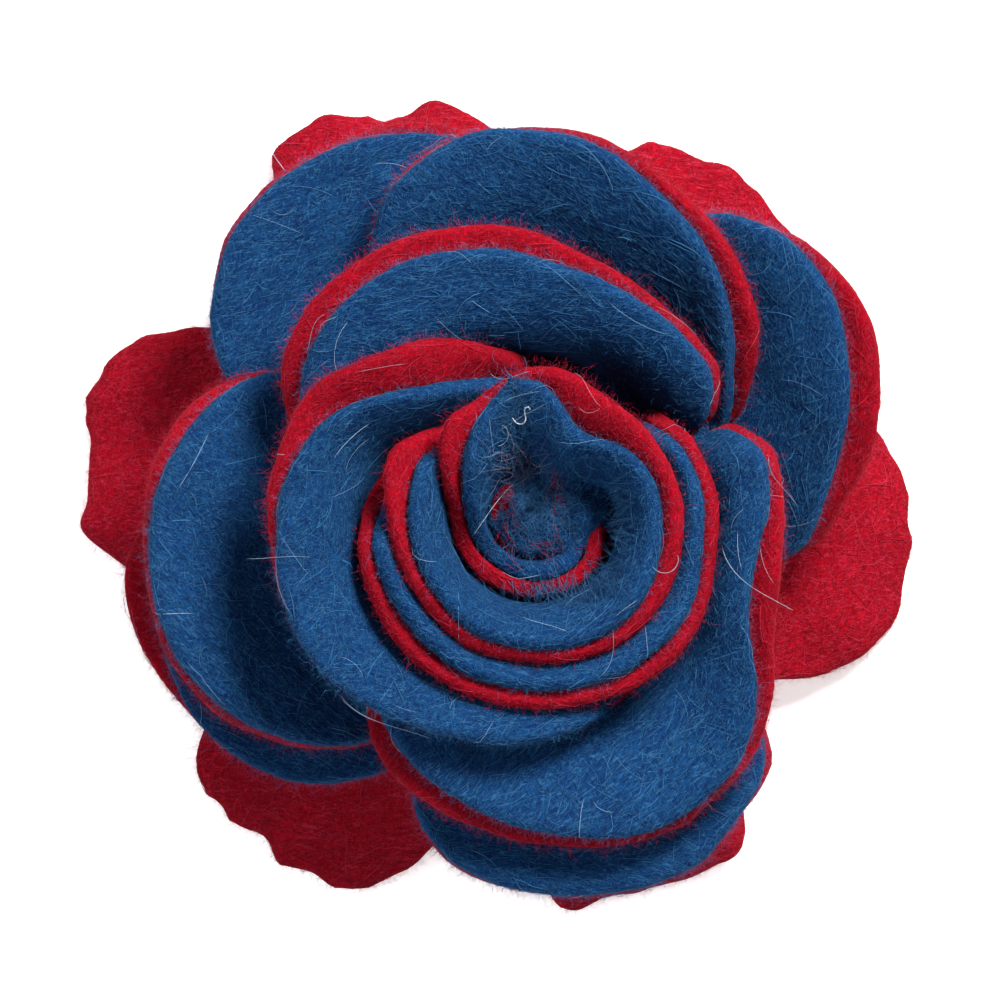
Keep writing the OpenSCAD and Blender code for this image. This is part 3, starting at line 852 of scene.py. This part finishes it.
def needles(name, groups):
    """One piece with the fibres of some groups."""
    points, triangles, shades, start = [], [], [], 0
    for fibres in groups:
        some, corners, tones = needle_arrays(fibres)
        points.append(some)
        triangles.append(corners + start)
        shades.append(tones)
        start += len(some)
    points, triangles = np.concatenate(points), np.concatenate(triangles)
    points[:, 2] = np.maximum(points[:, 2], 0.0)  # none below the surface that it rests on
    shades = np.concatenate(shades)
    mesh = bpy.data.meshes.new(name)
    mesh.vertices.add(len(points))
    mesh.vertices.foreach_set("co", points.reshape(-1))
    mesh.loops.add(triangles.size)
    mesh.loops.foreach_set("vertex_index", triangles.reshape(-1).astype(np.int32))
    mesh.polygons.add(len(triangles))
    mesh.polygons.foreach_set("loop_start", np.arange(0, triangles.size, 3, dtype=np.int32))
    mesh.polygons.foreach_set("use_smooth", np.ones(len(triangles), dtype=bool))
    mesh.update(calc_edges=True)
    mesh.validate()
    shade = mesh.attributes.new("shade", "FLOAT", "POINT")
    shade.data.foreach_set("value", shades.astype(np.float32))
    piece = bpy.data.objects.new(name, mesh)
    bpy.context.scene.collection.objects.link(piece)
    return piece


def tree_of(mesh):
    """A search tree of one mesh."""
    points, triangles = corners_and_triangles(mesh)
    return BVHTree.FromPolygons(points.tolist(), triangles.tolist(), all_triangles=True)


def along_felt(normals, angles, tilt, rng):
    """Directions in the surface that point about the given ways round +Z."""
    count = len(normals)
    flat = np.stack([np.cos(angles), np.sin(angles), rng.normal(0, tilt, count)], axis=1)
    return unit(flat - normals * np.sum(flat * normals, axis=1, keepdims=True))


def walk(tree, at, normals, along, steps, long, curl):
    """Follows the surface from each point in a few steps, turning a little at each. Gives the
    stations and the normals there."""
    stations, facing = [at], [normals]
    for _ in range(steps):
        aside = np.cross(normals, along)
        along = np.cos(curl)[:, None] * along + np.sin(curl)[:, None] * aside
        found = [tree.find_nearest(Vector(p)) for p in at + along * (long / steps)[:, None]]
        at = np.array([hit[0] for hit in found]).reshape(-1, 3)
        normals = np.array([hit[1] for hit in found]).reshape(-1, 3)
        along = unit(along - normals * np.sum(along * normals, axis=1, keepdims=True))
        stations.append(at)
        facing.append(normals)
    return np.stack(stations, axis=1), np.stack(facing, axis=1)


def lying_lines(tree, at, normals, nap, long, wide, steps, rng):
    """Fibres that lie on the felt, most of them about along its nap, and bow up a little between
    their ends."""
    count = len(at)
    angles = math.radians(nap) + rng.normal(0, math.radians(NAP_STRAY), count)
    angles += math.pi * rng.integers(0, 2, count)
    along = along_felt(normals, angles, NAP_TILT, rng)
    curl = rng.normal(0, math.radians(NAP_CURL), count)
    stations, facing = walk(
        tree, at, normals, along, steps, long * rng.uniform(*NAP_SPAN, count), curl)
    lift = sizes().nap_lift * rng.gamma(2.0, 0.5, count)
    s = np.arange(steps + 1) / steps
    rise = lift[:, None] * np.sin(math.pi * s)[None] - wide / 2
    return stations + facing * rise[:, :, None]


def fuzz_lines(at, normals, rng):
    """Fine ends that stand off the felt, each with one bend."""
    size = sizes()
    count = len(at)
    lean = unit(rng.normal(size=(count, 3)))
    way = unit(normals + FUZZ_LEAN * lean)
    long = size.fuzz_long * rng.gamma(3.0, 1 / 3, count)
    bend = np.cross(way, unit(rng.normal(size=(count, 3)))) * (long * FUZZ_BEND)[:, None]
    base = at - normals * size.fuzz_wide
    tip = at + way * long[:, None]
    return np.stack([base, (base + tip) / 2 + bend, tip], axis=1)


class FELTROSE_OT_nap(bpy.types.Operator):
    """Grow the short fibres that lie on each piece of felt and the fine ends that stand off it"""

    bl_idname = "felt_rose.nap"
    bl_label = "Nap"

    def execute(self, context):
        size = sizes()
        whole = felt_tree()
        for seed, (node, nap) in enumerate(felts()):
            rng = np.random.default_rng(NAP_SEED + seed)
            felt = bpy.data.objects[felt_name(node)]
            area = sum(face.area for face in felt.data.polygons) * 1e4
            if node == "back_layer":
                area *= BACK_SHARE
            tree = tree_of(felt.data)
            groups = []
            for each, long, wide, steps in (
                    (size.nap_count, size.nap_long, size.nap_wide, NAP_STEPS),
                    (size.strand_count, size.strand_long, size.strand_wide, STRAND_STEPS)):
                at, normals = open_points(felt.data, int(each * area), whole, rng)
                groups.append(Fibres(
                    lying_lines(tree, at, normals, nap, long, wide, steps, rng),
                    wide * rng.uniform(*NAP_THICK, len(at)), rng.beta(*NAP_SHADE, len(at))))
            at, normals = open_points(
                felt.data, int(size.fuzz_count * area), whole, rng, size.fuzz_rims)
            groups.append(Fibres(
                fuzz_lines(at, normals, rng),
                size.fuzz_wide * rng.uniform(*FUZZ_THICK, len(at)),
                rng.beta(*FUZZ_SHADE, len(at))))
            piece = needles(f"nap_{node}", groups)
            base, _, pale = felt_of(node)
            dye = slot_of(node).replace("felt_", "")
            piece.data.materials.append(nap_material(f"wool_fibre_{dye}", base, pale))
            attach(piece, BODY)
        return {"FINISHED"}


class FELTROSE_OT_strays(bpy.types.Operator):
    """Lay the long loose fibres and the tangles in the middle of the bud"""

    bl_idname = "felt_rose.strays"
    bl_label = "Loose fibres"

    def execute(self, context):
        size = sizes()
        whole = felt_tree()
        dye = colours()
        rng = np.random.default_rng(STRAY_SEED)
        for side, tone in (("front", dye.blue_pale), ("rear", dye.red_pale)):
            pieces = [bpy.data.objects[felt_name(f"{petal}_{side}")] for petal in PETALS]
            at, normals = zip(*[
                open_points(felt.data, size.stray_count, whole, rng) for felt in pieces])
            at, normals = np.concatenate(at), np.concatenate(normals)
            count = len(at)
            along = along_felt(normals, rng.uniform(0, 2 * math.pi, count), STRAY_TILT, rng)
            long = rng.uniform(*STRAY_LONG, count) * MM
            stations, facing = walk(
                whole, at, normals, along, STRAY_STEPS, long,
                rng.normal(0, math.radians(STRAY_CURL), count))
            s = np.arange(STRAY_STEPS + 1) / STRAY_STEPS
            rise = rng.uniform(*STRAY_RISE, count)[:, None] * MM * np.sin(math.pi * s)[None]
            fibres = Fibres(
                stations + facing * rise[:, :, None], rng.uniform(*STRAY_THICK, count) * MM,
                rng.beta(*STRAY_SHADE, count))
            piece = needles(f"stray_fibres_{side}", [fibres])
            name = "blue" if side == "front" else "red"
            piece.data.materials.append(
                nap_material(f"loose_wool_{name}", tuple(tone), colour(STRAY_PALEST)))
            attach(piece, BODY)
        groups = []
        for row in LOOSE:
            line = draped(whole, row)
            groups.append(Fibres(line[None], np.array([row[THICK] * MM]), np.array([row[PALE]])))
        piece = needles("loose_fibres", groups)
        piece.data.materials.append(
            nap_material("loose_wool_pale", *map(colour, LOOSE_DYES)))
        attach(piece, BODY)
        # The blue and red tangles run from the painted shade colour of their felt to a paler one.
        tones = {
            "red": ("felt_red", tuple(dye.red_shaded), tuple(dye.red)),
            "grey": ("felt_blue", *map(colour, LINT_DYES))}
        plain = ("felt_blue", tuple(dye.blue_shaded), tuple(dye.blue_pale))
        for name, row in TANGLES.items():
            kind = next((kind for kind in tones if kind in name), None)
            slot, deep, pale = tones.get(kind, plain)
            groups = []
            for _ in range(row[FIBRES]):
                off = rng.normal(0, 1, 2)
                strand = (
                    row[AT_X] + off[0] * row[SPREAD_X], row[AT_Y] + off[1] * row[SPREAD_Y],
                    row[WAY] + rng.uniform(-1, 1) * row[ASTRAY], rng.uniform(*TANGLE_LONG),
                    rng.normal(0, row[ASTRAY] / 2), rng.uniform(0, 1) * row[ASTRAY] / 3, 0,
                    rng.uniform(*TANGLE_THICK))
                line = draped(whole, strand, TANGLE_STEPS, int(rng.integers(0, TANGLE_TAUT)))
                groups.append(Fibres(
                    line[None], np.array([strand[THICK] * MM]), rng.beta(*TANGLE_SHADE, 1)))
            piece = needles(name, groups)
            piece.data.materials.append(nap_material(f"tangled_wool_{kind or 'blue'}", deep, pale))
            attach(piece, BODY)
        return {"FINISHED"}


class FELTROSE_OT_declare(bpy.types.Operator):
    """An empty step, which does nothing"""

    bl_idname = "felt_rose.declare"
    bl_label = "Sheets"

    def execute(self, context):
        return {"FINISHED"}


def area_light(name, place, aim, width, power, tone):
    """A soft box that looks at a point."""
    light = bpy.data.lights.new(name, "AREA")
    light.shape = "DISK"
    light.size = width
    light.energy = power
    light.color = colour(tone)
    lamp = bpy.data.objects.new(name, light)
    bpy.context.scene.collection.objects.link(lamp)
    lamp.location = place
    lamp.rotation_euler = (Vector(aim) - Vector(place)).to_track_quat("-Z", "Y").to_euler()


class FELTROSE_OT_stage(bpy.types.Operator):
    """Add the floor, the soft light and the camera"""

    bl_idname = "felt_rose.stage"
    bl_label = "Stage"

    def execute(self, context):
        scene = context.scene
        scene.view_settings.view_transform = "Standard"
        for other in context.selected_objects:
            other.select_set(False)
        bpy.ops.mesh.primitive_plane_add(size=FLOOR_WIDE)
        floor = context.active_object
        floor.name = "floor"
        material = bpy.data.materials.new("white_paper")
        material.use_nodes = True
        shader = material.node_tree.nodes["Principled BSDF"]
        shader.inputs["Base Color"].default_value = (*colour("#F4F4F4"), 1)
        shader.inputs["Roughness"].default_value = 0.9
        shader.inputs["Emission Color"].default_value = (1, 1, 1, 1)
        shader.inputs["Emission Strength"].default_value = FLOOR_GLOW
        floor.data.materials.append(material)

        world = scene.world or bpy.data.worlds.new("studio")
        scene.world = world
        world.use_nodes = True
        back = world.node_tree.nodes["Background"]
        back.inputs["Color"].default_value = (*colour("#FFFFFF"), 1)
        back.inputs["Strength"].default_value = AMBIENT

        for name, (place, width, power, tone) in LAMPS.items():
            area_light(name, place, LIT_POINT, width, power, tone)

        view_wide = PIXELS_WIDE / PIXELS_PER_MM * MM
        lens = bpy.data.cameras.new("camera")
        lens.sensor_width = 36
        lens.lens = lens.sensor_width * CAMERA_UP / view_wide
        lens.clip_start, lens.clip_end = 0.01, 10
        camera = bpy.data.objects.new("camera", lens)
        scene.collection.objects.link(camera)
        camera.location = (*((p * MM) for p in VIEW_MIDDLE), CAMERA_UP)
        scene.camera = camera
        return {"FINISHED"}


class FELTROSE_PT_panel(bpy.types.Panel):
    """Sizes, colours and steps of the felt rose"""

    bl_idname = "FELTROSE_PT_panel"
    bl_label = "Felt rose"
    bl_space_type = "VIEW_3D"
    bl_region_type = "UI"
    bl_category = "Felt rose"

    def draw(self, context):
        for group in (context.scene.felt_rose_sizes, context.scene.felt_rose_colours):
            for name in type(group).__annotations__:
                self.layout.prop(group, name)
        for step in STEPS:
            self.layout.operator(step.bl_idname)


STEPS = (
    FELTROSE_OT_petals, FELTROSE_OT_tuft, FELTROSE_OT_back_layer, FELTROSE_OT_bar_pin, FELTROSE_OT_nap,
    FELTROSE_OT_strays, FELTROSE_OT_declare, FELTROSE_OT_stage)
CLASSES = (FeltRoseSizes, FeltRoseColours, *STEPS, FELTROSE_PT_panel)


def register():
    for cls in CLASSES:
        bpy.utils.register_class(cls)
    bpy.types.Scene.felt_rose_sizes = PointerProperty(type=FeltRoseSizes)
    bpy.types.Scene.felt_rose_colours = PointerProperty(type=FeltRoseColours)


def unregister():
    del bpy.types.Scene.felt_rose_colours
    del bpy.types.Scene.felt_rose_sizes
    for cls in reversed(CLASSES):
        bpy.utils.unregister_class(cls)


def main():
    register()
    bpy.ops.felt_rose.petals()
    bpy.ops.felt_rose.tuft()
    bpy.ops.felt_rose.back_layer()
    bpy.ops.felt_rose.bar_pin()
    bpy.ops.felt_rose.nap()
    bpy.ops.felt_rose.strays()
    bpy.ops.felt_rose.declare()
    bpy.ops.felt_rose.stage()


if __name__ == "__main__":
    main()
